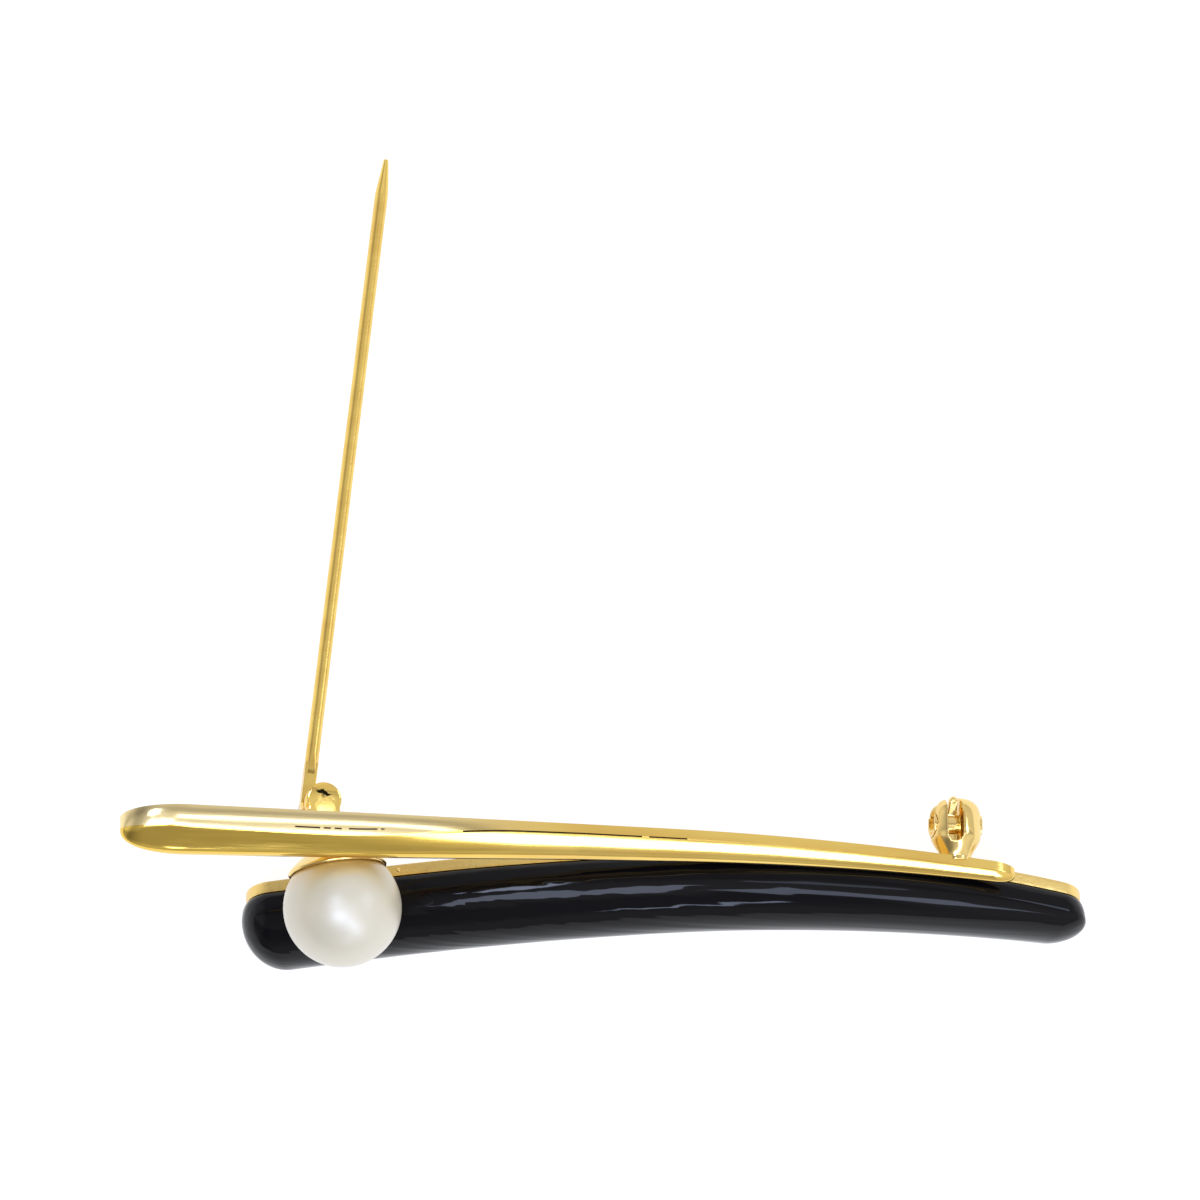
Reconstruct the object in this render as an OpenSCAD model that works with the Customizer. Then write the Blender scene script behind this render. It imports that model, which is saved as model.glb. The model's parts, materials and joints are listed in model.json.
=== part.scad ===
// Onyx and pearl bar brooch, shown lying on its side with its pin swung open.
// The pieces are drawn upright first: x runs along the gold bar, y across it and z toward the front.
// One turn then lays them all on the surface, on the three points that the brooch rests on.

/* [Gold bar] */
// Length of the gold bar from tip to tip
bar_len = 65.5; // [62:0.1:68]
// Half the width of the bar at its wide end
bar_half_wide = 2.25; // [1.95:0.05:2.3]
// Half the width of the bar at its narrow end
bar_half_narrow = 0.72; // [0.5:0.01:1.2]
// How late the bar tapers, where 1 is an even taper
bar_taper = 1.45; // [1:0.05:2]
// Height of the flat side wall at the wide end
bar_wall_wide = 1.1; // [0.6:0.05:1.6]
// Height of the flat side wall at the narrow end
bar_wall_narrow = 0.65; // [0.5:0.05:1.2]
// Rise of the domed front over the wall, for each millimetre of half width
bar_dome = 0.9; // [0.5:0.01:1]
// Length of the rounded wide end
bar_cap_wide = 4.4; // [1:0.1:5]
// Length of the pointed narrow end
bar_cap_narrow = 1.9; // [1:0.1:5]
// Fullness of the rounded ends seen from the side, where 2 is an ellipse
bar_nose = 2.4; // [2:0.1:3]
// Where the bar starts to bend forward, measured from its middle
bend_start = 6.5; // [0:0.5:15]
// Radius of the forward bend
bend_radius = 270; // [150:5:600]

/* [Onyx and its back plate] */
// Length of the onyx along its middle line
onyx_len = 62.5; // [45:0.5:75]
// Half the width of the onyx at its wide end
onyx_half_wide = 3.95; // [2:0.05:5]
// Half the width of the onyx at its narrow end
onyx_half_narrow = 2.8; // [1.5:0.05:4]
// Length of the rounded wide end of the onyx
onyx_cap_wide = 3.0; // [2:0.05:5]
// Length of the rounded narrow end of the onyx
onyx_cap_narrow = 2.5; // [1.5:0.05:4]
// Height of the onyx over its back plate at the wide end
onyx_high_wide = 4.52; // [2.5:0.02:6]
// Height of the onyx over its back plate at the narrow end
onyx_high_narrow = 2.42; // [2:0.02:5]
// Height of the widest line of the onyx over its foot
onyx_belly = 1.25; // [0.4:0.05:1.5]
// How far the foot of the onyx is rounded in under its widest line
onyx_foot_in = 0.55; // [0.1:0.05:0.8]
// How late the onyx tapers, where 1 is an even taper
onyx_taper = 3.3; // [1:0.1:5]
// Thickness of the gold back plate
plate_t = 0.86; // [0.6:0.02:0.9]
// How far the back of the plate lies behind the back of the bar
plate_back = 0.2; // [0:0.02:0.3]
// How far the edge of the plate lies inside the widest line of the onyx
plate_in = 0.45; // [0.1:0.05:0.8]
// Gap between the plate and the onyx, filled with cement on the real brooch
cement_gap = 0.04; // [0.02:0.01:0.1]
// Left end of the onyx: place along the bar
onyx_x = -20.55; // [-21:0.05:-19.5]
// Left end of the onyx: distance behind the bar, in the plane of the plate
onyx_y = -18.25; // [-18.7:0.05:-18.2]
// Heading of the straight stretch of the onyx, seen from the front
onyx_heading = 28.1; // [27.5:0.1:28.2]
// Length of the straight stretch
onyx_straight = 8.2; // [7:0.1:8.3]
// Radius of the curved stretch
onyx_radius = 86; // [84:0.5:86.5]
// Lean of the plate and the onyx about the long axis of the bar
plate_lean = 6; // [4:0.5:8]
// Line across the bar that the plate leans about
plate_turn_y = -1.2; // [-1.6:0.05:-0.8]

/* [Solder seam] */
// Where the seam between the bar and the plate starts along the bar
seam_from = 13; // [12:0.5:18]
// Where it ends
seam_to = 30; // [22:0.5:30]
// Its middle line across the bar
seam_y = -1.5; // [-1.8:0.05:-1.2]
// Half its width
seam_half = 0.75; // [0.4:0.05:0.9]
// Its back face over the back of the bar
seam_low = 0.12; // [0.05:0.01:0.2]
// Its front face over the back of the bar
seam_high = 0.6; // [0.4:0.02:0.7]

/* [Pearl and cup] */
// Diameter of the pearl
pearl_d = 8.46; // [6:0.02:10]
// Centre of the pearl along the bar
pearl_x = -16.05; // [-25:0.1:0]
// Centre of the pearl across the bar
pearl_y = -4.2; // [-6:0.1:2]
// Centre of the pearl in front of the back of the bar
pearl_z = 5.37; // [4.5:0.05:8]
// Radius of the rim of the cup
cup_rim_r = 3.5; // [2.5:0.02:4]
// Thickness of the wall of the cup
cup_t = 0.3; // [0.2:0.02:0.6]
// Tilt of the cup along the bar, which shows more of its left side
cup_tilt = 7; // [0:1:10]
// Diameter of the peg inside the drilled pearl
peg_d = 0.8; // [0.6:0.02:1.2]
// Length of the peg over the middle of the cup wall
peg_reach = 3.2; // [2:0.1:5]
// Gap between the pearl and its cup, filled with cement on the real brooch
pearl_gap = 0.04; // [0.02:0.01:0.1]

/* [Hinge and pin] */
// Centre of the hinge along the bar
hinge_x = -18.5; // [-20:0.05:-10]
// Height of the hinge pin over the back of the bar
hinge_high = 0.95; // [0.95:0.01:1.2]
// Radius of the two round ears
ear_r = 1.24; // [1:0.02:1.8]
// Thickness of each ear
ear_t = 1.4; // [0.5:0.05:1.5]
// Diameter of the rivet
rivet_d = 0.8; // [0.5:0.02:0.9]
// Gap between the rivet and the ears that hold it
rivet_gap = 0.02; // [0.01:0.01:0.04]
// Radius of the eye at the root of the pin
eye_r = 0.9; // [0.8:0.02:0.9]
// Running clearance of the hinge, on the radius and on each face
hinge_gap = 0.05; // [0.02:0.01:0.1]
// Diameter of the pin wire
pin_d = 0.96; // [0.7:0.01:1]
// Distance from the rivet to the middle line of the wire
pin_offset = 0.95; // [0.8:0.01:1.1]
// Length of the pin from the rivet to its tip
pin_len = 49.5; // [40:0.1:55]
// Length of the flat tang next to the hinge
tang_len = 3; // [2:0.1:5]
// Thickness of the tang
tang_t = 0.8; // [0.5:0.05:0.9]
// Width of the tang
tang_w = 0.9; // [0.6:0.02:1]
// Length of the sharpened tip
tip_len = 2.9; // [2:0.1:5]
// Diameter of the rounded point
tip_d = 0.34; // [0.2:0.02:0.5]
// Angle of the open pin from square to the bar
pin_open = 7.1; // [2:0.1:15]

/* [Safety catch] */
// Middle of the catch along the bar
catch_x = 28.4; // [26:0.1:28.5]
// Height of its bore over the back of the bar
catch_high = 2.5; // [2:0.05:3.5]
// Radius of the ball
catch_r = 1.88; // [1.7:0.02:2]
// Radius of the rounding at its top and bottom, which makes the ball a little square
catch_round = 2.18; // [2:0.02:2.4]
// Length of the ball along the bar
catch_long = 3.7; // [2.6:0.05:4]
// Radius of the stem of the ball where it is soldered to the bar
catch_stem_r = 1.05; // [0.8:0.05:1.1]
// How far the stem reaches into the bar
catch_root = 0.25; // [0.1:0.05:0.4]
// Width of the slot for the lever
slot_w = 0.9; // [0.8:0.05:1.4]
// Middle of the slot and of the lever, to the left of the middle of the ball
slot_aside = 0.5; // [0:0.05:0.6]
// Depth of the slot under the middle of the bore
slot_depth = 1.5; // [1.2:0.05:1.6]
// Distance from the middle of the ball to the blind end of the slot under the bore
slot_blind = 0.6; // [0.3:0.05:0.8]
// Half the width of the mouth that lets the pin in
mouth_half = 0.68; // [0.62:0.02:0.8]
// Radius of the bore that the rotor turns in
bore_r = 0.98; // [0.8:0.01:1.2]
// Length of the rotor along the bar
rotor_long = 3.6; // [3:0.05:4]
// Radial clearance of the rotor
rotor_gap = 0.05; // [0.02:0.01:0.1]
// Radius of the hole that takes the pin
rotor_hole_r = 0.66; // [0.55:0.01:0.8]
// Angle of the lever from the mouth when the catch is open
lever_angle = 42; // [35:1:60]
// Reach of the lever from the middle of the bore
lever_reach = 2.05; // [1.9:0.05:3]
// Thickness of the lever along the bar
lever_t = 0.6; // [0.4:0.05:0.7]
// Width of the lever
lever_w = 0.5; // [0.4:0.05:0.7]
// Diameter of the knob on the lever
knob_d = 0.56; // [0.5:0.02:0.7]

/* [Hidden] */
$fn = 48;
gold = [0.83, 0.68, 0.35];
onyx_black = [0.08, 0.08, 0.1];
pearl_cream = [0.93, 0.9, 0.85];

// Steps around a rounded end, along the body, over a dome and around a foot
cap_steps = 6;
body_steps = 34;
dome_steps = 8;
foot_steps = 3;
// Share of the half width where a dome closes with a narrow strip
ridge = 0.04;

function blend(a, b, t) = a + (b - a) * t;
function unit(v) = v / norm(v);

// Stations along one long edge of a bar with two rounded ends: distance along it and half width.
// The share is 1 at the widest line of the bar and near 0 at its ridge. The reach is the same for
// the length of the rounded ends.
function edge_stations(long, cap_a, cap_b, half, share, reach) = concat(
    [for (i = [0 : cap_steps])
        let (turn = 90 * i / cap_steps)
        [cap_a * (1 - reach * cos(turn)), half(cap_a) * share * sin(turn)]],
    [for (i = [1 : body_steps - 1])
        let (s = blend(cap_a, long - cap_b, i / body_steps))
        [s, half(s) * share]],
    [for (i = [0 : cap_steps])
        let (turn = 90 * i / cap_steps)
        [long - cap_b * (1 - reach * sin(turn)), half(long - cap_b) * share * cos(turn)]]
);

// One closed ring: out along the near edge and back along the far edge.
// place(distance, side, height) gives a point, and height(distance) the ring's height there.
function ring(stations, height, place) = let (n = len(stations)) concat(
    [for (i = [0 : n - 1])
        place(stations[i][0], stations[i][1], height(stations[i][0]))],
    [for (i = [n - 2 : -1 : 1])
        place(stations[i][0], -stations[i][1], height(stations[i][0]))]
);

// Triangles that close a ring of m points with strips from its near edge to its far edge
function lid(first, m) = let (n = m / 2 + 1) [
    for (i = [0 : n - 2])
    let (
        near_a = first + i,
        near_b = first + i + 1,
        far_a = first + (m - i) % m,
        far_b = first + m - i - 1
    )
    each [
        if (i < n - 2) [near_a, near_b, far_b],
        if (i > 0) [near_a, far_b, far_a]
    ]
];

function turned_over(triangles) = [for (t = triangles) [t[2], t[1], t[0]]];

// Solid made of a stack of rings, from the one at its back to the one at its front
module stacked(rings) {
    m = len(rings[0]);
    last = len(rings) - 1;
    walls = [
        for (k = [0 : last - 1], i = [0 : m - 1])
        let (a = k * m + i, b = k * m + (i + 1) % m)
        each [[a, b, b + m], [a, b + m, a + m]]
    ];
    polyhedron(
        points = [for (r = rings) each r],
        faces = concat(walls, turned_over(lid(0, m)), lid(last * m, m)),
        convexity = 6
    );
}

// Gold bar
function bar_half(s) = blend(bar_half_wide, bar_half_narrow, pow(s / bar_len, bar_taper));
function bar_wall(s) = blend(bar_wall_wide, bar_wall_narrow, min(1, 2 * s / bar_len));
function bend(x) = pow(max(0, x - bend_start), 2) / (2 * bend_radius);
function bar_place(s, side, high) = let (x = s - bar_len / 2) [x, side, bend(x) + high];
function nose_reach(share) = pow(1 - pow(1 - share * share, bar_nose), 1 / bar_nose);
function bar_ring(share, height) = ring(
    edge_stations(
        bar_len, bar_cap_wide, bar_cap_narrow, function(s) bar_half(s), share, nose_reach(share)
    ),
    height,
    function(s, side, high) bar_place(s, side, high)
);
// How far the back of the bar is rounded up toward its crease, as a share of the wall
function tip_lift(gap, cap) = let (reach = max(0, 1 - gap / cap)) 0.5 * (1 - sqrt(1 - reach * reach));
function bar_back(s) = bar_wall(s)
    * (tip_lift(s, bar_cap_wide) + tip_lift(bar_len - s, bar_cap_narrow));
bar_rings = concat(
    [bar_ring(1, function(s) bar_back(s))],
    [for (i = [0 : dome_steps])
        let (share = blend(1, ridge, i / dome_steps))
        bar_ring(share, function(s) bar_wall(s) + bar_dome * bar_half(s) * (1 - share * share))]
);

// Onyx and back plate: a straight stretch that runs into an arc, in a plane that leans
function onyx_half(s) = blend(onyx_half_wide, onyx_half_narrow, pow(s / onyx_len, onyx_taper));
function onyx_high(s) = blend(onyx_high_wide, onyx_high_narrow, pow(s / onyx_len, onyx_taper));
function path_heading(s) = onyx_heading - max(0, s - onyx_straight) * 180 / (PI * onyx_radius);
function path_point(s) =
    let (
        straight = min(s, onyx_straight),
        angle = path_heading(s),
        corner = [onyx_x, onyx_y] + straight * [cos(onyx_heading), sin(onyx_heading)]
    )
    corner + onyx_radius * [
        sin(onyx_heading) - sin(angle),
        cos(angle) - cos(onyx_heading)
    ];
function onyx_place(s, side, high) =
    let (
        angle = path_heading(s),
        flat = path_point(s) + side * [-sin(angle), cos(angle)],
        out = flat.y - plate_turn_y
    )
    [
        flat.x,
        plate_turn_y + out * cos(plate_lean) + high * sin(plate_lean),
        bend(flat.x) - plate_back - out * sin(plate_lean) + high * cos(plate_lean)
    ];
function onyx_ring(share, height) = ring(
    edge_stations(onyx_len, onyx_cap_wide, onyx_cap_narrow, function(s) onyx_half(s), share, share),
    height,
    function(s, side, high) onyx_place(s, side, high)
);
onyx_foot = plate_t + cement_gap;
onyx_rings = concat(
    [for (i = [0 : foot_steps - 1])
        let (
            turn = 90 * i / foot_steps,
            share = 1 - onyx_foot_in / onyx_half_wide * (1 - sin(turn)),
            high = onyx_foot + onyx_belly * (1 - cos(turn))
        )
        onyx_ring(share, function(s) high)],
    [for (i = [0 : dome_steps])
        let (
            share = blend(1, ridge, pow(i / dome_steps, 0.8)),
            rise = sqrt(1 - share * share)
        )
        onyx_ring(share, function(s) onyx_foot + onyx_belly + (onyx_high(s) - onyx_belly) * rise)]
);
plate_share = 1 - plate_in / onyx_half_wide;
plate_rings = [for (high = [0, plate_t]) onyx_ring(plate_share, function(s) high)];

// Solder seam under the joint between the bar and the plate
seam_rings = [
    for (high = [seam_low, seam_high])
    ring(
        edge_stations(seam_to - seam_from, seam_half, seam_half, function(s) seam_half, 1, 1),
        function(s) high,
        function(s, side, z) [seam_from + s, seam_y + side, bend(seam_from + s) + z]
    )
];

// Pin, seen open: its direction and its rounded point
hinge_centre = [hinge_x, 0, -hinge_high];
pin_along = [sin(pin_open), 0, -cos(pin_open)];
pin_aside = [-cos(pin_open), 0, -sin(pin_open)];
tip_centre = hinge_centre + pin_offset * pin_aside + (pin_len - tip_d / 2) * pin_along;
pearl_centre = [pearl_x, pearl_y, pearl_z];
catch_centre = [catch_x, 0, bend(catch_x) - catch_high];

// The surface touches the brooch at three points: under the left part of the onyx, under its
// right part, and under the point of the pin. Each pass takes the lowest points of the last
// plane, and the plane through them is the next one.
function lowest(points, up) =
    let (heights = [for (p = points) p * up], least = min(heights))
    [for (i = [0 : len(points) - 1]) if (heights[i] == least) points[i]][0];
function facing(v, way) = v * way < 0 ? -v : v;
function resting_up(up, left, right, passes) = passes == 0 ? up :
    let (
        a = lowest(left, up),
        b = lowest(right, up),
        c = tip_centre - tip_d / 2 * up
    )
    resting_up(facing(unit(cross(b - a, c - a)), [0, 1, 0]), left, right, passes - 1);
lower_points = [for (r = concat(plate_rings, onyx_rings)) each r];
up = resting_up(
    [0, 1, 0],
    [for (p = lower_points) if (p.x < 0) p],
    [for (p = lower_points) if (p.x >= 0) p],
    6
);
right = unit([1, 0, 0] - up.x * up);
back = cross(up, right);
outline = concat(
    lower_points,
    [for (r = bar_rings) each r],
    [tip_centre + tip_d / 2 * back],
    [for (way = [right, -right, back, -back]) pearl_centre + pearl_d / 2 * way]
);
function middle(way) =
    let (reach = [for (p = outline) p * way])
    (min(reach) + max(reach)) / 2;
floor_level = lowest(lower_points, up) * up;

module laid() {
    multmatrix([
        [right.x, right.y, right.z, -middle(right)],
        [back.x, back.y, back.z, -middle(back)],
        [up.x, up.y, up.z, -floor_level],
        [0, 0, 0, 1]
    ])
    children();
}

// Round piece whose axis runs across the brooch, between two distances from its middle
module across(r, from, to) {
    rotate([-90, 0, 0])
    translate([0, 0, from])
    cylinder(h = to - from, r = r);
}

// Round piece whose axis runs along the brooch, centred
module along(r, long) {
    rotate([0, 90, 0])
    cylinder(h = long, r = r, center = true);
}

ear_inner = tang_t / 2 + hinge_gap;
ear_foot = 0.4;

module hinge_ears() {
    translate(hinge_centre)
    for (side = [0, 1])
        mirror([0, side, 0])
        difference() {
            union() {
                across(ear_r, ear_inner, ear_inner + ear_t);
                translate([-ear_r * 0.9, ear_inner, 0])
                cube([ear_r * 1.8, ear_t, hinge_high + ear_foot]);
            }
            across(rivet_d / 2 + rivet_gap, ear_inner - 1, ear_inner + ear_t + 1);
        }
}

cup_inner_r = pearl_d / 2 + pearl_gap;
cup_outer_r = cup_inner_r + cup_t;
cup_rim_drop = sqrt(cup_outer_r * cup_outer_r - cup_rim_r * cup_rim_r);

module pearl_cup() {
    translate(pearl_centre)
    rotate([0, cup_tilt, 0])
    difference() {
        sphere(cup_outer_r, $fn = 64);
        translate([0, 0, cup_outer_r - cup_rim_drop])
        cube([3 * cup_outer_r, 3 * cup_outer_r, 2 * cup_outer_r], center = true);
    }
}

module pearl_peg() {
    translate(pearl_centre)
    rotate([0, cup_tilt, 0])
    translate([0, 0, -cup_outer_r + cup_t / 2])
    cylinder(h = peg_reach, d = peg_d);
}

// Ball on a tapered stem, with a slot for the lever, a bore for the rotor and a mouth for the pin
module catch_ball() {
    translate(catch_centre)
    rotate([180, 0, 0])
    difference() {
        union() {
            intersection() {
                sphere(catch_round, $fn = 64);
                cylinder(h = 2 * catch_r, r = catch_r, center = true);
                cube([catch_long, 3 * catch_r, 3 * catch_r], center = true);
            }
            translate([0, 0, -catch_high - catch_root])
            cylinder(h = catch_high + catch_root - catch_r * 0.35, r1 = catch_stem_r, r2 = catch_r * 0.93);
        }
        along(bore_r, 3 * catch_r);
        translate([-1.5 * catch_r, -mouth_half, 0])
        cube([3 * catch_r, 2 * mouth_half, 2 * catch_r]);
        translate([-slot_aside - slot_w / 2, -2 * catch_r, 0])
        cube([slot_w, 4 * catch_r, 2 * catch_r]);
        translate([-slot_aside - slot_w / 2, -2 * catch_r, -slot_depth])
        cube([slot_w, 2 * catch_r - slot_blind, slot_depth + catch_r]);
    }
}

module gold_frame() {
    color(gold)
    laid()
    difference() {
        union() {
            stacked(bar_rings);
            stacked(plate_rings);
            stacked(seam_rings);
            pearl_cup();
            hinge_ears();
            catch_ball();
            pearl_peg();
        }
        difference() {
            translate(pearl_centre)
            sphere(cup_inner_r, $fn = 64);
            pearl_peg();
        }
    }
}

module onyx_bar() {
    color(onyx_black)
    laid()
    stacked(onyx_rings);
}

module pearl() {
    color(pearl_cream)
    laid()
    translate(pearl_centre)
    difference() {
        sphere(d = pearl_d, $fn = 64);
        rotate([0, cup_tilt, 0])
        translate([0, 0, -pearl_d])
        cylinder(h = pearl_d - cup_outer_r + cup_t / 2 + peg_reach + 0.1, d = peg_d + 0.1);
    }
}

module hinge_rivet() {
    color(gold)
    laid()
    translate(hinge_centre)
    across(rivet_d / 2, -ear_inner - ear_t, ear_inner + ear_t);
}

// Flat eye and tang at the hinge, then round wire that is ground to a point
module pin_stem() {
    color(gold)
    laid()
    translate(hinge_centre)
    rotate([0, -pin_open, 0])
    mirror([0, 0, 1])
    difference() {
        union() {
            across(eye_r, -tang_t / 2, tang_t / 2);
            translate([-pin_offset, 0, 0])
            across(tang_w / 2, -tang_t / 2, tang_t / 2);
            translate([-pin_offset - tang_w / 2, -tang_t / 2, 0])
            cube([tang_w, tang_t, tang_len]);
            translate([-pin_offset, -tang_t / 2, -tang_w / 2])
            cube([pin_offset, tang_t, tang_w / 2 + eye_r]);
            translate([-pin_offset, 0, tang_len / 2])
            cylinder(h = tang_len, d = tang_t - 0.1);
            translate([-pin_offset, 0, tang_len])
            cylinder(h = pin_len - tip_len - tang_len, d = pin_d);
            translate([-pin_offset, 0, pin_len - tip_len])
            cylinder(h = tip_len - tip_d / 2, d1 = pin_d, d2 = tip_d);
            translate([-pin_offset, 0, pin_len - tip_d / 2])
            sphere(d = tip_d);
        }
        across(rivet_d / 2 + hinge_gap, -tang_t, tang_t);
    }
}

// Tube with a gap that lets the pin in, and the lever that turns it
module catch_rotor() {
    color(gold)
    laid()
    translate(catch_centre)
    rotate([180, 0, 0])
    difference() {
        union() {
            along(bore_r - rotor_gap, rotor_long);
            rotate([lever_angle, 0, 0])
            translate([-slot_aside, 0, 0]) {
                translate([-lever_t / 2, -lever_w / 2, 0])
                cube([lever_t, lever_w, lever_reach]);
                translate([0, 0, lever_reach])
                sphere(d = knob_d, $fn = 32);
            }
        }
        along(rotor_hole_r, 2 * rotor_long);
        translate([-rotor_long, -rotor_hole_r, 0])
        cube([2 * rotor_long, 2 * rotor_hole_r, 2 * catch_r]);
    }
}

gold_frame();
onyx_bar();
pearl();
hinge_rivet();
pin_stem();
catch_rotor();
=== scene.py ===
"""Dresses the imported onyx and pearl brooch: fine pieces over its solids, and a small studio."""

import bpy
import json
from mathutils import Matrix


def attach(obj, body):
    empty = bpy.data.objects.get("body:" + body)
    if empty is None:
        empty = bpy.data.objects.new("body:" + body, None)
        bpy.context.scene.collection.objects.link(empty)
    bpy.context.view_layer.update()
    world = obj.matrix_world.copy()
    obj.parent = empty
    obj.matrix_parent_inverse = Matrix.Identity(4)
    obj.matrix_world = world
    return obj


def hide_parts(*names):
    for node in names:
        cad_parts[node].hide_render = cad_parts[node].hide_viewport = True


bl_info = {
    "name": "Onyx and Pearl Brooch",
    "version": (1, 0, 0),
    "blender": (4, 5, 0),
    "location": "View3D > Sidebar > Brooch",
    "description": "Builds a gold brooch with a curved onyx, a cupped pearl, a pin and a safety catch",
    "category": "Object",
}

import json
from math import acos, asin, cos, pi, radians, sin, sqrt

import bmesh
import bpy
import numpy as np
from bpy.props import FloatProperty, PointerProperty, StringProperty
from mathutils import Matrix, Vector, noise

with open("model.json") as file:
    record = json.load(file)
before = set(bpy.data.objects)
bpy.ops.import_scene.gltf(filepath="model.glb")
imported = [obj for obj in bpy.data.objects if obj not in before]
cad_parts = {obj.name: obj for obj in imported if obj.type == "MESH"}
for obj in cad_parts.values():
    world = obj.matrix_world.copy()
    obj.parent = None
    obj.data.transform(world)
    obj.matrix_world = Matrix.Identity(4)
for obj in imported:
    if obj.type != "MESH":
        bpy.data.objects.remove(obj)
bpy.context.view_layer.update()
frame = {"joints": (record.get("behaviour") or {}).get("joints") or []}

MM = 0.001

# The brooch's own axes in the row frame: along the gold bar, across it, and toward its front
JOINTS = {joint["name"]: joint for joint in frame["joints"]}
ALONG = Vector(JOINTS["catch_turn"]["axis"]).normalized()
ACROSS = -Vector(JOINTS["pin_hinge"]["axis"]).normalized()
FRONT = ALONG.cross(ACROSS)
TURN = Matrix((ALONG, ACROSS, FRONT)).transposed()
HINGE_AT = Vector(JOINTS["pin_hinge"]["pos_m"])
CATCH_AT = Vector(JOINTS["catch_turn"]["pos_m"])


def number(name, description, default, low, high, unit="NONE", **more):
    """A property given in its own unit."""
    return FloatProperty(
        name=name, description=description, default=default, min=low, max=high, unit=unit, **more,
    )


def mm(name, description, default, low, high):
    """A length property given in millimetres."""
    return number(name, description, default * MM, low * MM, high * MM, "LENGTH", precision=5, step=0.01)


def hex_colour(name, description, default):
    """A colour property held as sRGB hex digits."""
    return StringProperty(name=name, description=description, default=default, maxlen=7)


# Sizes and colours that a user would change


class BarSizes(bpy.types.PropertyGroup):
    length: mm("Length", "Gold bar from tip to tip", 65.5, 62, 68)
    half_wide: mm("Half width, wide end", "Half the width at the wide end", 2.25, 1.95, 2.3)
    half_narrow: mm("Half width, narrow end", "Half the width at the narrow end", 0.72, 0.5, 1.2)
    wall_wide: mm("Wall, wide end", "Height of the side wall at the wide end", 1.1, 0.6, 1.6)
    wall_narrow: mm("Wall, narrow end", "Height of the side wall at the narrow end", 0.65, 0.5, 1.2)
    cap_wide: mm("Rounding, wide end", "Length of the rounded wide end", 4.4, 1, 5)
    cap_narrow: mm("Rounding, narrow end", "Length of the pointed narrow end", 1.9, 1, 5)
    bend_radius: mm("Bend radius", "Radius of the forward bend", 270, 150, 600)
    crease: mm("Crease depth", "Depth of the fine groove between side wall and front", 0.07, 0.0, 0.15)


class OnyxSizes(bpy.types.PropertyGroup):
    length: mm("Length", "Onyx along its middle line", 62.5, 45, 75)
    half_wide: mm("Half width, wide end", "Half the width at the wide end", 3.95, 2, 5)
    half_narrow: mm("Half width, narrow end", "Half the width at the narrow end", 2.8, 1.5, 4)
    high_wide: mm("Height, wide end", "Height over the plate at the wide end", 4.52, 2.5, 6)
    high_narrow: mm("Height, narrow end", "Height over the plate at the narrow end", 2.42, 2, 5)
    belly: mm("Belly", "Height of the widest line over the foot", 1.25, 0.4, 1.5)
    plate: mm("Plate thickness", "Thickness of the gold back plate", 0.86, 0.6, 0.9)


class PearlSizes(bpy.types.PropertyGroup):
    diameter: mm("Diameter", "Diameter of the pearl", 8.46, 6, 10)
    unevenness: mm("Unevenness", "How far the pearl departs from a true ball", 0.02, 0, 0.1)
    cup_rim: mm("Cup rim", "Radius of the rim of the cup", 3.5, 2.5, 4)
    cup_wall: mm("Cup wall", "Thickness of the cup", 0.3, 0.2, 0.6)


class PinSizes(bpy.types.PropertyGroup):
    length: mm("Length", "From the rivet to the point", 49.5, 40, 55)
    wire: mm("Wire", "Diameter of the pin wire", 0.96, 0.7, 1.2)
    point: mm("Point", "Length of the sharpened end", 2.9, 2, 5)
    ear_radius: mm("Hinge ears", "Radius of the two round ears", 1.24, 1, 1.8)


class CatchSizes(bpy.types.PropertyGroup):
    radius: mm("Ball", "Radius of the ball", 1.88, 1.5, 2.4)
    slot: mm("Slot", "Width of the slot for the lever", 0.9, 0.8, 1.4)
    knob: mm("Knob", "Diameter of the knob on the lever", 0.56, 0.4, 0.8)


class Finishes(bpy.types.PropertyGroup):
    gold: hex_colour("Gold", "Polished yellow gold", "#F0CE72")
    gold_deep: hex_colour("Deep gold", "Gold where it is less worn", "#E6BF66")
    gold_rich: hex_colour("Rich gold", "Gold of the facet at the left end", "#E9C45B")
    # Laid all over the cast and sheet gold as a paler tone, and over the left end of the side wall as a
    # painted highlight sheen
    gold_worn: hex_colour("Worn gold", "Paler gold where the side wall is rubbed", "#EFDBA8")
    onyx: hex_colour("Onyx", "Polished black onyx", "#0B090D")
    pearl: hex_colour("Pearl", "Body colour of the pearl", "#CAC3AD")
    pearl_warm: hex_colour("Pearl overtone", "Warm overtone of the pearl", "#C6BA9C")
    # Painted reflection of the gold cup on the pearl near its rim
    pearl_gold: hex_colour("Pearl by the cup", "Nacre that glows with the gold of its cup", "#CBA652")
    paper: hex_colour("Paper", "Studio floor", "#909090")


class Studio(bpy.types.PropertyGroup):
    camera_distance: number("Camera distance", "From the bar's middle to the camera", 0.45, 0.2, 2, "LENGTH")
    camera_lens: number("Lens", "Focal length on a 36 mm sensor", 189.08, 50, 400, "CAMERA")
    sky: number("Sky", "Brightness of the pale surround", 1.0, 0, 4)
    long_box: number("Long softboxes", "Brightness of the four softboxes over the brooch", 9.0, 0, 20)
    small_box: number("Small softboxes", "Brightness of the two softboxes beside it", 8.0, 0, 20)
    table_glow: number("Table glow", "Light that comes up through the paper", 0.82, 0, 2)


GROUPS = {
    "brooch_bar": BarSizes,
    "brooch_onyx": OnyxSizes,
    "brooch_pearl": PearlSizes,
    "brooch_pin": PinSizes,
    "brooch_catch": CatchSizes,
    "brooch_finishes": Finishes,
    "brooch_studio": Studio,
}


def sizes(name):
    """One group's lengths in millimetres, as a plain dictionary."""
    group = getattr(bpy.context.scene, name)
    return {key: getattr(group, key) / MM for key in GROUPS[name].__annotations__}


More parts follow.
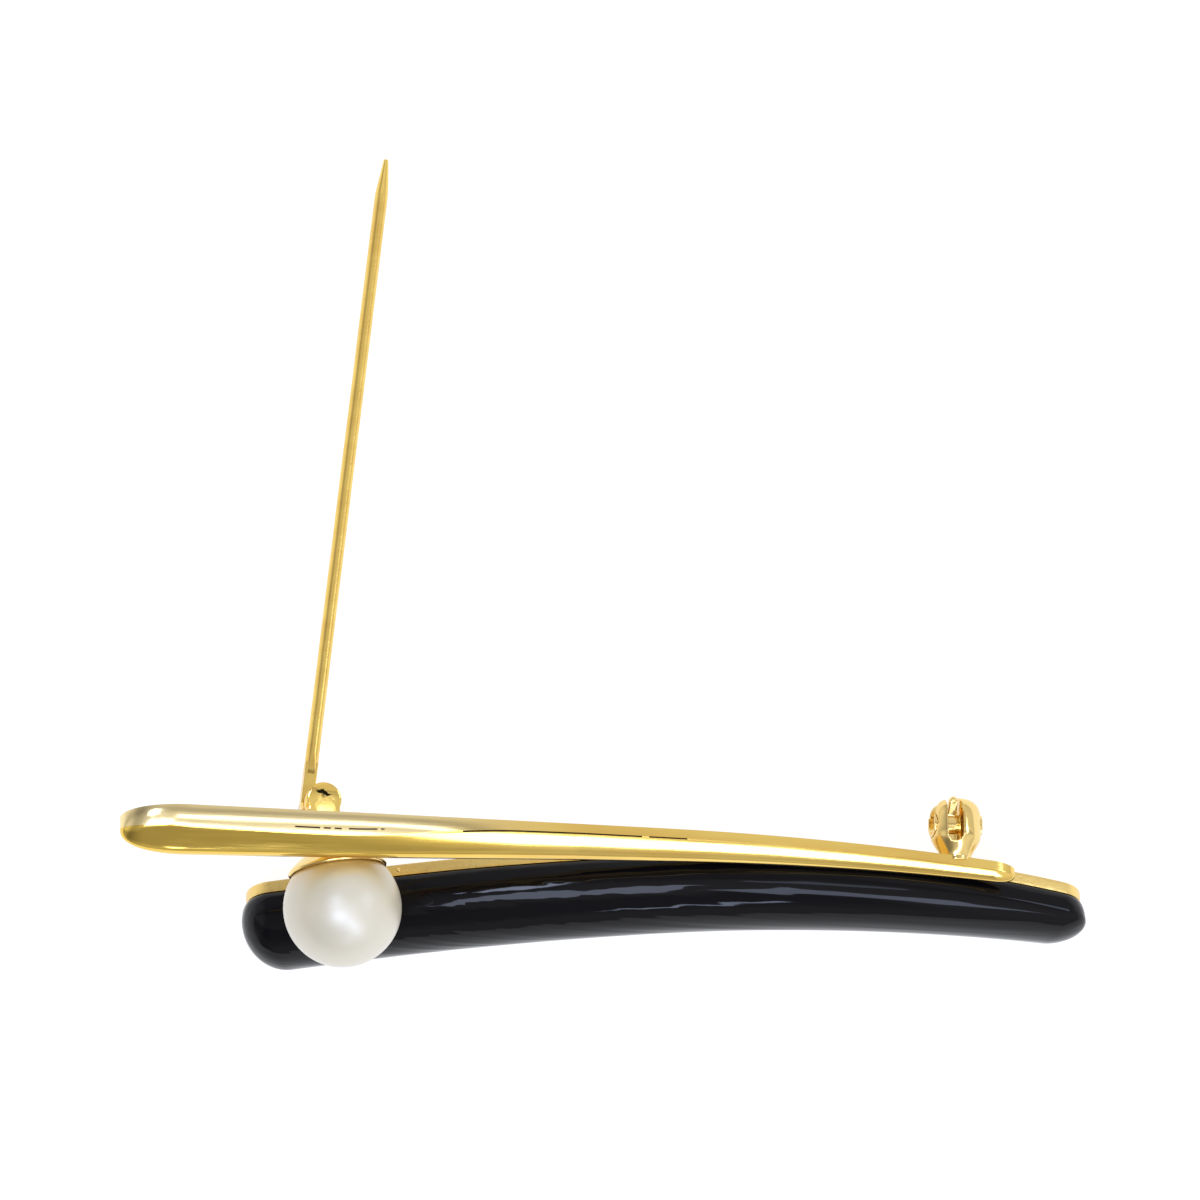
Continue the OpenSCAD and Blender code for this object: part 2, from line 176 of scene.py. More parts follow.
# Small shape helpers, all in millimetres in the brooch's own axes


def blend(a, b, t):
    """From a at t = 0 to b at t = 1."""
    return a + (b - a) * t


def smooth(t):
    """An even start and end for a share between 0 and 1."""
    t = min(1.0, max(0.0, t))
    return t * t * (3 - 2 * t)


def ripple(place, size, seed=0.0):
    """Soft noise between -1 and 1 with features of about that size in millimetres."""
    return noise.noise(Vector(place) / size + Vector((seed, 7.3 * seed, -3.1 * seed)))


def ring(length, caps, half, share, steps, height, place):
    """One closed ring at that share of a bar's half width: out along its near edge, back along its far one.

    caps are the lengths of the bar's two rounded ends, steps the steps round each of them and between them.
    """
    cap_a, cap_b = caps
    quarter = [0.5 * pi * i / steps[0] for i in range(steps[0] + 1)]
    stations = [(cap_a * (1 - share * cos(turn)), half(cap_a) * share * sin(turn)) for turn in quarter]
    for i in range(1, steps[1]):
        at = blend(cap_a, length - cap_b, i / steps[1])
        stations.append((at, half(at) * share))
    for turn in quarter:
        stations.append((length - cap_b * (1 - share * sin(turn)), half(length - cap_b) * share * cos(turn)))
    near = [place(at, side, height(at)) for at, side in stations]
    far = [place(at, -side, height(at)) for at, side in stations[-2:0:-1]]
    return near + far


def lid(first, count):
    """Faces that close a ring from its near edge to its far edge."""
    faces = []
    for i in range(count // 2):
        # At either end two of these corners are one
        corners = dict.fromkeys((i, i + 1, count - i - 1, (count - i) % count))
        faces.append(tuple(first + corner for corner in corners))
    return faces


def skin(count, gaps):
    """Faces that join neighbouring rings of count points, over that many gaps."""
    faces = []
    for k in range(gaps):
        for i in range(count):
            a, b = k * count + i, k * count + (i + 1) % count
            faces.append((a, b, b + count, a + count))
    return faces


def stacked(rings):
    """Points and faces of a closed solid made of a stack of rings, from its back to its front."""
    count = len(rings[0])
    points = [point for one in rings for point in one]
    faces = [tuple(reversed(face)) for face in lid(0, count)]
    faces += skin(count, len(rings) - 1)
    faces += lid((len(rings) - 1) * count, count)
    return points, faces


def tube(points, count):
    """Points and faces of rings of count points, with a flat face over the first and the last."""
    last = len(points) - count
    faces = [tuple(reversed(range(count)))] + skin(count, last // count) + [tuple(range(last, last + count))]
    return points, faces


def lathe(profile, steps, closed=False):
    """Points and faces of a profile of (radius, height) turned round the z axis."""
    turns = [2 * pi * i / steps for i in range(steps)]
    points = [(wide * cos(turn), wide * sin(turn), high) for wide, high in profile for turn in turns]
    faces = skin(steps, len(profile) - 1)
    last = len(points) - steps
    if closed:
        return points, faces + [(last + i, last + (i + 1) % steps, (i + 1) % steps, i) for i in range(steps)]
    return points, faces + [tuple(reversed(range(steps))), tuple(range(last, last + steps))]


def globe(radius, rows, steps, height=0.0):
    """Points and faces of a ball with its middle at that height of the z axis."""
    turns = [pi * i / rows for i in range(1, rows)]
    return lathe([(radius * sin(turn), height - radius * cos(turn)) for turn in turns], steps)


def cylinder(radius, low, high, matrix):
    """Points and faces of a cylinder, made along z and then moved."""
    return moved(lathe([(radius, low), (radius, high)], 64), matrix)


def block(low, high):
    """A plain box between two corners."""
    points = [(x, y, z) for x in (low[0], high[0]) for y in (low[1], high[1]) for z in (low[2], high[2])]
    faces = [(0, 1, 3, 2), (4, 6, 7, 5), (0, 4, 5, 1), (2, 3, 7, 6), (0, 2, 6, 4), (1, 5, 7, 3)]
    return points, faces


def slab(outline, levels):
    """Points and faces of an outline in (x, z), pushed across the brooch through (y, inset) levels."""
    middle = np.mean(np.array(outline), axis=0)
    points = []
    for across, inset in levels:
        for x, z in outline:
            away = np.array((x, z)) - middle
            reach = np.linalg.norm(away)
            at = middle + away * (reach - inset) / reach
            points.append((at[0], across, at[1]))
    return tube(points, len(outline))


def moved(shape, matrix):
    """The shape with its points taken through the matrix."""
    points, faces = shape
    return [tuple(matrix @ Vector(point)) for point in points], faces


def joined(*shapes):
    """Several shapes as one list of points and one of faces."""
    points, faces = [], []
    for more_points, more_faces in shapes:
        first = len(points)
        points += more_points
        faces += [tuple(first + i for i in face) for face in more_faces]
    return points, faces


def linked(name, data):
    """A new object in the scene."""
    thing = bpy.data.objects.new(name, data)
    bpy.context.scene.collection.objects.link(thing)
    return thing


def mesh_of(shape, looks=None):
    """A mesh in millimetres with its normals outward; looks gives the material slot of each face."""
    points, faces = shape
    mesh = bpy.data.meshes.new("shape")
    mesh.from_pydata(points, [], faces)
    if looks:
        mesh.polygons.foreach_set("material_index", looks)
    work = bmesh.new()
    work.from_mesh(mesh)
    bmesh.ops.remove_doubles(work, verts=work.verts, dist=1e-6)
    bmesh.ops.recalc_face_normals(work, faces=work.faces)
    work.to_mesh(mesh)
    work.free()
    return mesh


def carved(solids, cuts, voxel, rounding):
    """A mesh in millimetres: the solids as one, less the cuts, with its edges softened as in cast metal."""
    made = [linked("carved", mesh_of(shape)) for shape in solids + cuts]
    body = made[0]
    for i, tool in enumerate(made[1:], 1):
        step = body.modifiers.new(tool.name, "BOOLEAN")
        step.operation, step.object, step.solver = "UNION" if i < len(solids) else "DIFFERENCE", tool, "EXACT"
    remesh = body.modifiers.new("grain", "REMESH")
    remesh.mode, remesh.voxel_size, remesh.adaptivity = "VOXEL", voxel, 0.0
    soften = body.modifiers.new("soften", "SMOOTH")
    soften.factor, soften.iterations = 0.5, rounding
    ready = body.evaluated_get(bpy.context.evaluated_depsgraph_get())
    mesh = bpy.data.meshes.new_from_object(ready)
    for thing in made:
        bpy.data.meshes.remove(thing.data)
    return mesh


def laid_matrix(at, turn=TURN):
    """From the axes of a piece to the row frame, for a piece whose origin lies at that point of it."""
    return Matrix.Translation(at) @ turn.to_4x4()


def brooch_matrix():
    """From the brooch's own axes to the row frame."""
    hinge = Vector((HINGE_X, 0, -HINGE_HIGH)) * MM
    return laid_matrix(HINGE_AT - TURN @ hinge)


def piece(name, mesh, finishes, body="brooch", node="gold_frame", crisp=40, matrix=None):
    """A finished piece, made in millimetres in its own axes: laid in its place, riding on its body."""
    if not len(mesh.polygons):
        raise RuntimeError(f"{name} came out empty")
    mesh.name = name
    mesh.transform((brooch_matrix() if matrix is None else matrix) @ Matrix.Scale(MM, 4))
    mesh.shade_smooth()
    mesh.set_sharp_from_angle(angle=radians(crisp))
    for make in finishes:
        mesh.materials.append(material_of(make))
    thing = linked(name, mesh)
    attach(thing, body)
    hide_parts(node)


# Fixed facts of the design, in millimetres and degrees
HINGE_X, HINGE_HIGH = -18.5, 0.95
BAR_TAPER, BAR_DOME, BAR_NOSE, BEND_START = 1.45, 0.9, 2.4, 6.5
ONYX_X, ONYX_Y, ONYX_HEADING, ONYX_STRAIGHT, ONYX_RADIUS = -20.55, -18.25, 28.1, 8.2, 86.0
ONYX_TAPER, ONYX_CAPS, ONYX_FOOT_IN = 3.3, (3.0, 2.5), 0.55
PLATE_LEAN, PLATE_TURN_Y, PLATE_BACK, PLATE_IN, CEMENT_GAP = 6.0, -1.2, 0.2, 0.45, 0.04
PEARL_AT = Vector((-16.05, -4.2, 5.37))
PEARL_GAP, CUP_TILT = 0.04, 7.0
EAR_THICK, TANG_THICK, TANG_WIDE, TANG_LONG, HINGE_GAP = 1.4, 0.8, 0.9, 3.0, 0.05
RIVET_RADIUS, EYE_RADIUS, PIN_OFFSET, PIN_OPEN, TIP_WIDE = 0.4, 0.9, 0.95, 7.1, 0.34
CATCH_HIGH, CATCH_LONG, CATCH_STEM = 2.5, 3.7, 1.05
BORE_RADIUS, ROTOR_GAP, ROTOR_LONG, ROTOR_HOLE = 0.98, 0.05, 3.6, 0.66
LEVER_ANGLE, LEVER_REACH, LEVER_THICK, LEVER_WIDE = 42.0, 2.05, 0.6, 0.5
SLOT_ASIDE, SLOT_DEPTH, SLOT_BLIND, MOUTH_HALF = 0.5, 1.5, 0.6, 0.68


class GoldBarShape:
    """The tapered gold bar: where it bends, how wide it is and how high its side wall is."""

    def __init__(self):
        self.bar = sizes("brooch_bar")

    def half(self, at):
        bar = self.bar
        return blend(bar["half_wide"], bar["half_narrow"], max(0.0, at / bar["length"]) ** BAR_TAPER)

    def wall(self, at):
        bar = self.bar
        return blend(bar["wall_wide"], bar["wall_narrow"], min(1.0, 2 * max(0.0, at) / bar["length"]))

    def bend(self, x):
        return max(0.0, x - BEND_START) ** 2 / (2 * self.bar["bend_radius"])

    def place(self, at, side, high):
        x = at - self.bar["length"] / 2
        return (x, side, self.bend(x) + high)

    def back(self, at):
        """How far the back is rounded up toward the crease at the two tips."""
        bar = self.bar
        lift = 0.0
        for gap, cap in ((at, bar["cap_wide"]), (bar["length"] - at, bar["cap_narrow"])):
            reach = min(1.0, max(0.0, 1 - gap / cap))
            lift += 0.5 * (1 - sqrt(1 - reach * reach))
        return self.wall(at) * lift


class OnyxShape:
    """The curved onyx and the plate under it: where they run, how wide and how high they are."""

    def __init__(self):
        self.size = sizes("brooch_onyx")
        self.bar = GoldBarShape()

    def taper(self, measure, at):
        """A measure that runs from its wide-end value to its narrow-end value."""
        share = max(0.0, at / self.size["length"]) ** ONYX_TAPER
        return blend(self.size[measure + "_wide"], self.size[measure + "_narrow"], share)

    def half(self, at):
        return self.taper("half", at)

    def place(self, at, side, high):
        head, lean = radians(ONYX_HEADING), radians(PLATE_LEAN)
        angle = head - max(0.0, at - ONYX_STRAIGHT) / ONYX_RADIUS
        straight = min(at, ONYX_STRAIGHT)
        x = ONYX_X + straight * cos(head) + ONYX_RADIUS * (sin(head) - sin(angle))
        y = ONYX_Y + straight * sin(head) + ONYX_RADIUS * (cos(angle) - cos(head))
        x, y = x - side * sin(angle), y + side * cos(angle)
        out = y - PLATE_TURN_Y
        return (
            x,
            PLATE_TURN_Y + out * cos(lean) + high * sin(lean),
            self.bar.bend(x) - PLATE_BACK - out * sin(lean) + high * cos(lean),
        )

    def level(self, share, height, steps):
        """One closed ring at that share of the half width, its height a function of the distance along."""
        return ring(self.size["length"], ONYX_CAPS, self.half, share, steps, height, self.place)


# Materials


def linear(colour):
    """An sRGB hex colour as linear RGBA."""
    parts = [int(colour[i : i + 2], 16) / 255 for i in (1, 3, 5)]
    return tuple(p / 12.92 if p <= 0.04045 else ((p + 0.055) / 1.055) ** 2.4 for p in parts) + (1.0,)


def finish(name):
    """A colour of the finishes as linear RGBA."""
    return linear(getattr(bpy.context.scene.brooch_finishes, name))


def feed(tree, node, inputs):
    """Gives a node its inputs, each a value or another node's output."""
    for socket, value in inputs.items():
        if isinstance(value, bpy.types.NodeSocket):
            tree.links.new(value, node.inputs[socket])
        else:
            node.inputs[socket].default_value = value


def add(tree, kind, inputs=None, **settings):
    """Adds a node with its settings and inputs."""
    node = tree.nodes.new(kind)
    for key, value in settings.items():
        setattr(node, key, value)
    feed(tree, node, inputs or {})
    return node


def ranged(tree, value, low, high, to_low=0.0, to_high=1.0, kind="LINEAR"):
    """The value, with low to high laid over to_low to to_high."""
    inputs = {"Value": value, "From Min": low, "From Max": high, "To Min": to_low, "To Max": to_high}
    return add(tree, "ShaderNodeMapRange", inputs, interpolation_type=kind).outputs["Result"]


def mixed(tree, share, first, second, kind="MIX"):
    """The second colour laid over the first by that share."""
    inputs = {"Factor": share, 6: first, 7: second}
    return add(tree, "ShaderNodeMix", inputs, data_type="RGBA", blend_type=kind).outputs[2]


def bumped(tree, height, strength, depth_mm, below=None):
    """The surface's direction with that relief, on top of the relief below."""
    inputs = {"Height": height, "Strength": strength, "Distance": depth_mm * MM}
    if below:
        inputs["Normal"] = below
    return add(tree, "ShaderNodeBump", inputs).outputs["Normal"]


def material_of(make):
    """The material named after the function that adds its nodes and gives its shader's inputs; made once."""
    material = bpy.data.materials.get(make.__name__)
    if material is None:
        material = bpy.data.materials.new(make.__name__)
        material.use_nodes = True
        tree = material.node_tree
        feed(tree, tree.nodes["Principled BSDF"], make(tree))
    return material


def place_in(tree):
    """The surface's place in the row frame."""
    return add(tree, "ShaderNodeTexCoord").outputs["Object"]


def grain(tree, stretch, size_mm, detail=3.0, seed=0.0):
    """Noise whose features are about size_mm, stretched by those factors along the brooch's own axes."""
    inputs = {"Vector": place_in(tree), "Rotation": TURN.transposed().to_euler()}
    turned = add(tree, "ShaderNodeMapping", inputs).outputs["Vector"]
    inputs = {"Vector": turned, "Scale": stretch, "Location": (seed, seed * 0.7, -seed)}
    place = add(tree, "ShaderNodeMapping", inputs).outputs["Vector"]
    inputs = {"Vector": place, "Scale": 1 / (size_mm * MM), "Detail": detail}
    return add(tree, "ShaderNodeTexNoise", inputs).outputs["Fac"]


def distance_from(tree, point):
    """Distance of the surface from a point of the brooch."""
    inputs = {0: place_in(tree), 1: brooch_matrix() @ (point * MM)}
    return add(tree, "ShaderNodeVectorMath", inputs, operation="DISTANCE").outputs["Value"]


def gold(tree, rough, rough_more, streak, lines_mm, lines_height, left=None, pale=0.0, fall=None):
    """Yellow gold. rough to rough_more is its finish, streak the stretch of its polishing marks along x.

    left names the finish that it fades to toward its left end; for the side wall that is a paler gold which
    paints in the sheen of highlights there. pale is the share of pale gold laid all over.
    fall is a point, two distances from it and the depth by which the surface falls away between them.
    """
    cloud = ranged(tree, grain(tree, (0.2, 1, 1), 1.6, 5.0, 0.011), 0.38, 0.68)
    tint = mixed(tree, cloud, finish("gold"), finish("gold_deep"))
    # Toward the left end the tint fades to the named finish; on the side wall that paler gold is a painted
    # highlight sheen
    if left:
        split = add(tree, "ShaderNodeSeparateXYZ", {"Vector": place_in(tree)})
        share = ranged(tree, split.outputs["X"], -2 * MM, -16 * MM, 0.0, 0.85, "SMOOTHSTEP")
        tint = mixed(tree, share, tint, finish(left))
    if pale:
        tint = mixed(tree, pale, tint, finish("gold_worn"))
    lines = grain(tree, streak, lines_mm, 4.0, 0.023)
    relief = None
    if fall:
        point, start, end, depth = fall
        slope = ranged(tree, distance_from(tree, point), start * MM, end * MM, 1.0, 0.0)
        relief = bumped(tree, slope, 1.0, depth)
    relief = bumped(tree, grain(tree, (0.25, 1, 1), 1.6, 1.0, 0.037), 0.25, 0.02, relief)
    relief = bumped(tree, lines, 1.0, lines_height, relief)
    sheen = ranged(tree, lines, 0.3, 0.7, rough, rough_more)
    return {"Metallic": 1.0, "Base Color": tint, "Roughness": sheen, "Normal": relief}


def buffed_gold(tree):
    """18 carat gold buffed on a wheel: near mirror, with faint marks that run along the bar."""
    return gold(tree, 0.07, 0.15, (0.03, 1, 1), 0.16, 0.0016, left="gold_rich")


def lapped_gold(tree):
    """Gold rubbed on fine paper; the half of each ear near the bar falls away and throws back a sheen."""
    above = Vector((HINGE_X + 0.5, 0, -HINGE_HIGH - 4))
    return gold(tree, 0.07, 0.15, (1, 1, 1), 0.4, 0.003, fall=(above, 3.85, 5.4, 0.4))


def emery_satin_gold(tree):
    """18 carat gold drawn over fine emery: a satin side wall with lines along the bar, paled toward its left
    end as a painted highlight sheen.
    """
    return gold(tree, 0.11, 0.2, (0.012, 1, 1), 0.11, 0.0022, left="gold_worn")


def tumbled_cast_gold(tree):
    """Cast and tumbled gold of the catch and the cup: bright, with a slightly uneven skin."""
    return gold(tree, 0.1, 0.2, (1, 1, 1), 0.5, 0.004, pale=0.35)


def filed_sheet_gold(tree):
    """Rolled gold sheet, filed on its edge and left from the solder pickle: granular and a little pale."""
    return gold(tree, 0.26, 0.42, (0.6, 1, 1), 0.2, 0.02, pale=0.25)


def drawn_gold_wire(tree):
    """Drawn gold wire: fine die lines run along it."""
    return gold(tree, 0.16, 0.28, (1, 1, 0.03), 0.15, 0.002)


def tarnished_gold_pit(tree):
    """Dark, dull gold: painted shade, laid in the bar's groove and over a small pit in a hinge ear."""
    tint = mixed(tree, grain(tree, (1, 1, 1), 0.2, seed=0.05), linear("#0D0C08"), linear("#2E2816"))
    return {"Metallic": 1.0, "Roughness": 0.55, "Base Color": tint}


def polished_black_onyx(tree):
    """Black onyx polished with oxide on felt: a deep, glassy black with faint swirl and hairline marks."""
    tint = mixed(tree, grain(tree, (0.4, 1, 1), 6.0, 4.0, 0.07), linear("#060609"), finish("onyx"))
    haze = ranged(tree, grain(tree, (0.15, 1, 1), 0.6, 5.0, 0.083), 0.35, 0.75, 0.025, 0.09)
    swirl = bumped(tree, grain(tree, (0.045, 1, 1), 0.8, 1.0, 0.091), 0.8, 0.06)
    return {
        "IOR": 1.54, "Specular IOR Level": 0.14,
        "Base Color": tint, "Roughness": haze, "Normal": swirl,
    }


def cultured_pearl_nacre(tree):
    """Cultured pearl: layered nacre with a soft glow inside, a satin gloss over it, and a painted reflection
    of its gold cup near the rim.
    """
    tint = mixed(tree, grain(tree, (1, 1, 1), 3.5, 3.0, 0.11), finish("pearl"), finish("pearl_warm"))
    # Painted reflection of the gold cup: the nacre turns to the cup's gold near its rim (glow is the distance
    # from the pearl's foot)
    radius = sizes("brooch_pearl")["diameter"] / 2
    foot = PEARL_AT - radius * Vector((sin(radians(CUP_TILT)), 0, cos(radians(CUP_TILT))))
    glow = distance_from(tree, foot)
    near = ranged(tree, glow, 5.3 * MM, 3.5 * MM, kind="SMOOTHSTEP")
    tint = mixed(tree, near, tint, finish("pearl_gold"))
    uneven = grain(tree, (1, 1, 1), 0.35, 4.0, 0.13)
    gloss = ranged(tree, uneven, 0.3, 0.7, 0.28, 0.4)
    return {
        "IOR": 1.53, "Subsurface Weight": 0.15, "Subsurface Radius": (1.0, 0.9, 0.8),
        "Subsurface Scale": 0.8 * MM, "Coat Weight": 1.0, "Coat Roughness": 0.43, "Coat IOR": 2.3,
        "Base Color": tint, "Roughness": gloss, "Normal": bumped(tree, uneven, 0.3, 0.004),
    }


def matt_background_paper(tree):
    """Matt white background paper with a faint tooth."""
    return {
        "Roughness": 0.9, "Base Color": finish("paper"), "Emission Color": (1, 1, 1, 1),
        "Emission Strength": bpy.context.scene.brooch_studio.table_glow,
        "Normal": bumped(tree, grain(tree, (1, 1, 1), 0.8, 5.0), 0.05, 0.05),
    }


# Pieces


class BROOCH_OT_gold_bar(bpy.types.Operator):
    """Build the tapered gold bar with its satin side wall, fine crease and domed front"""

    bl_idname = "brooch.gold_bar"
    bl_label = "Gold Bar"

    def execute(self, context):
        shape = GoldBarShape()
        bar = shape.bar
        length = bar["length"]
        cap_steps, body_steps = 20, 230
        wall_rows, edge_rows, front_rows, lip_rows = 16, 8, 18, 20
        # Stretches along the bar of the painted dark line of shade: where the crease starts on the rounded
        # shoulder, and in the groove
        scratch_from, scratch_to = 12.0, 18.3
        dark_from, dark_to = 24.0, length - 2
        # Shares of the half width over the groove, and the share of its depth at each
        groove = (
            (0.999, 0.0), (0.994, 0.1), (0.988, 0.8), (0.98, 1.0), (0.972, 0.8), (0.966, 0.1), (0.96, 0.0),
            (0.95, 0.0),
        )

        def crease_dark(at):
            """Whether the painted dark line of shade in the groove shows there."""
            # worn is only the share by which the painted shade line thins out toward the narrow end
            worn = blend(0.55, -0.75, smooth((at - 33) / 14))
            return worn + 0.5 * ripple((at, 0, 0), 2.6, 4.0) + 0.4 * ripple((at, 0, 0), 0.6, 9.0) > 0

        def scratch_dark(at):
            """Whether the painted dark line of shade where the crease starts crosses the rounded third of the
            bar there.
            """
            return scratch_from < at < scratch_to and ripple((at, 0, 0), 0.4, 2.0) > -0.3

        def rounded_section(at):
            """Rounded shoulder, flat facet and nose, walked along by the turn of the surface."""
            shoulder = blend(0.95, 1.35, smooth(at / 16))
            facet = blend(1.62, 1.35, smooth(at / 16))
            # Each stretch: its length, its turn in degrees at the start and the end, and its rows
            legs = (
                (0.3, -6, 8, wall_rows // 4), (shoulder, 8, 33, wall_rows - wall_rows // 4),
                (0.22, 33, 47, edge_rows), (facet, 47, 52, front_rows), (0.8, 52, 92, lip_rows),
            )
            y, z = bar["half_wide"], 0.0
            walked = [(y, z)]
            for long, turn_from, turn_to, rows in legs:
                for i in range(rows):
                    turn = radians(blend(turn_from, turn_to, (i + 0.5) / rows))
                    y -= long / rows * sin(turn)
                    z += long / rows * cos(turn)
                    walked.append((y, z))
            wide, high = bar["half_wide"] - walked[-1][0], walked[-1][1]
            half, top = shape.half(at), shape.wall(at) + BAR_DOME * shape.half(at)
            return [(half * (1 - 0.97 * (bar["half_wide"] - y) / wide), top * z / high) for y, z in walked]

        def flat_section(at):
            """Flat side wall, crease and dome."""
            half, wall = shape.half(at), shape.wall(at)
            depth = bar["crease"] * smooth((at - 20.0) / 5.0) * smooth((length - at) / 1.5)

            def dome(share):
                return wall + BAR_DOME * half * (1 - share * share)

            out = [(half, wall * i / wall_rows * 0.97) for i in range(wall_rows + 1)]
            out += [(half * share, dome(share) - 0.005 - depth * sink) for share, sink in groove]
            for i in range(1, front_rows + lip_rows + 1):
                share = blend(0.95, 0.03, i / (front_rows + lip_rows))
                out.append((half * share, dome(share)))
            return out

        def section(at):
            ease = smooth((at - 15.5) / 13.0)
            both = zip(rounded_section(at), flat_section(at))
            return [(blend(a[0], b[0], ease), blend(a[1], b[1], ease)) for a, b in both]

        # Where each section is taken, how far it is turned round its tip, and which tip that is
        body_end = length - bar["cap_narrow"]
        quarter = [0.5 * pi * i / cap_steps for i in range(cap_steps + 1)]
        stops = [(bar["cap_wide"], turn, -1) for turn in quarter]
        for i in range(1, body_steps):
            stops.append((blend(bar["cap_wide"], body_end, i / body_steps), 0.5 * pi, 0))
        stops += [(body_end, turn, 1) for turn in reversed(quarter)]

        rows = wall_rows + edge_rows + front_rows + lip_rows + 1
        near = [[] for _ in range(rows)]
        far = [[] for _ in range(rows)]
        for base, turn, end in stops:
            profile = section(base)
            crease = profile[wall_rows][1]
            for row, (y, z) in enumerate(profile):
                rise = min(1.0, max(0.0, z / crease - 1) / (profile[-1][1] / crease - 1))
                reach = (1 - rise ** BAR_NOSE) ** (1 / BAR_NOSE) * cos(turn)
                at = base
                if end < 0:
                    at = bar["cap_wide"] * (1 - reach)
                elif end > 0:
                    at = length - bar["cap_narrow"] * (1 - reach)
                if z < crease:
                    # The wall is squeezed up toward the crease where the back is rounded at a tip
                    lift = shape.back(at)
                    z = lift + z * (1 - lift / crease)
                near[row].append(shape.place(at, y * sin(turn), z))
                far[row].append(shape.place(at, -y * sin(turn), z))
        rings = [near[row] + far[row][-2:0:-1] for row in range(rows)]
        points, faces = stacked(rings)

        count = len(rings[0])
        looks = [0] * len(faces)
        first = len(lid(0, count))
        buffed, satin, tarnished = 0, 1, 2
        for row in range(wall_rows + edge_rows):
            for i in range(count):
                at = points[row * count + i][0] + length / 2
                look = satin if row < wall_rows else buffed
                # Painted shade: one shoulder row and the rows by the groove get dark gold in broken stretches
                if row == wall_rows - 4 and scratch_dark(at):
                    look = tarnished
                if 1 <= row - wall_rows <= 5 and dark_from < at < dark_to and crease_dark(at):
                    look = tarnished
                looks[first + row * count + i] = look
        mesh = mesh_of((points, faces), looks)
        piece("gold_bar", mesh, [buffed_gold, emery_satin_gold, tarnished_gold_pit], crisp=24)
        return {"FINISHED"}


class BROOCH_OT_back_plate(bpy.types.Operator):
    """Build the curved gold back plate with its filed edge and the solder that joins it to the bar"""

    bl_idname = "brooch.back_plate"
    bl_label = "Back Plate"

    def execute(self, context):
        onyx = OnyxShape()
        share = 1 - PLATE_IN / onyx.size["half_wide"]
        thick = onyx.size["plate"]
        # How far in the edge is, and the height there
        edge = [(0.014, 0.0), (0.004, 0.02), (0.0, 0.08)]
        edge += [(0.0, blend(0.08, thick - 0.08, i / 4)) for i in range(1, 5)]
        edge += [(0.004, thick - 0.02), (0.014, thick)]
        plate = stacked([onyx.level(share - inset, lambda at: high, (18, 200)) for inset, high in edge])

        seam_from, seam_to, seam_y, seam_half = 13.0, 30.0, -1.5, 0.75

        def seam_place(at, side, high):
            return (seam_from + at, seam_y + side, onyx.bar.bend(seam_from + at) + high)

        seam = [
            ring(
                seam_to - seam_from, (seam_half, seam_half), lambda at: seam_half, inside, (8, 40),
                lambda at: high, seam_place,
            )
            for inside, high in ((0.9, 0.12), (1.0, 0.2), (1.0, 0.52), (0.9, 0.6))
        ]
        bubbles = []
        for x, z, size in ((-10.43, 0.5, 0.13), (-9.25, 0.42, 0.16), (-8.7, 0.6, 0.08)):
            at = max(0.0, (x - ONYX_X) / cos(radians(ONYX_HEADING - 2)))
            spot = onyx.place(at, share * onyx.half(at) - 0.02, z)
            bubbles.append(moved(globe(size, 12, 24), Matrix.Translation(spot)))
        mesh = mesh_of(joined(plate, stacked(seam), *bubbles))
        piece("back_plate", mesh, [filed_sheet_gold])
        return {"FINISHED"}


class BROOCH_OT_onyx(bpy.types.Operator):
    """Build the curved polished onyx"""

    bl_idname = "brooch.onyx"
    bl_label = "Onyx"

    def execute(self, context):
        onyx = OnyxShape()
        belly = onyx.size["belly"]
        foot = onyx.size["plate"] + CEMENT_GAP
        foot_steps, dome_steps, edge_steps = 12, 46, (24, 240)
        rings = []
        for i in range(foot_steps):
            turn = 0.5 * pi * i / foot_steps
            share = 1 - ONYX_FOOT_IN / onyx.size["half_wide"] * (1 - sin(turn))
            rings.append(onyx.level(share, lambda at: foot + belly * (1 - cos(turn)), edge_steps))
        for i in range(dome_steps + 1):
            share = max(0.03, cos(0.5 * pi * i / dome_steps))
            rise = sqrt(1 - share * share)
            rings.append(onyx.level(
                share, lambda at: foot + belly + (onyx.taper("high", at) - belly) * rise, edge_steps,
            ))
        mesh = mesh_of(stacked(rings))
        piece("onyx_stone", mesh, [polished_black_onyx], "brooch", "onyx_bar", 60)
        return {"FINISHED"}


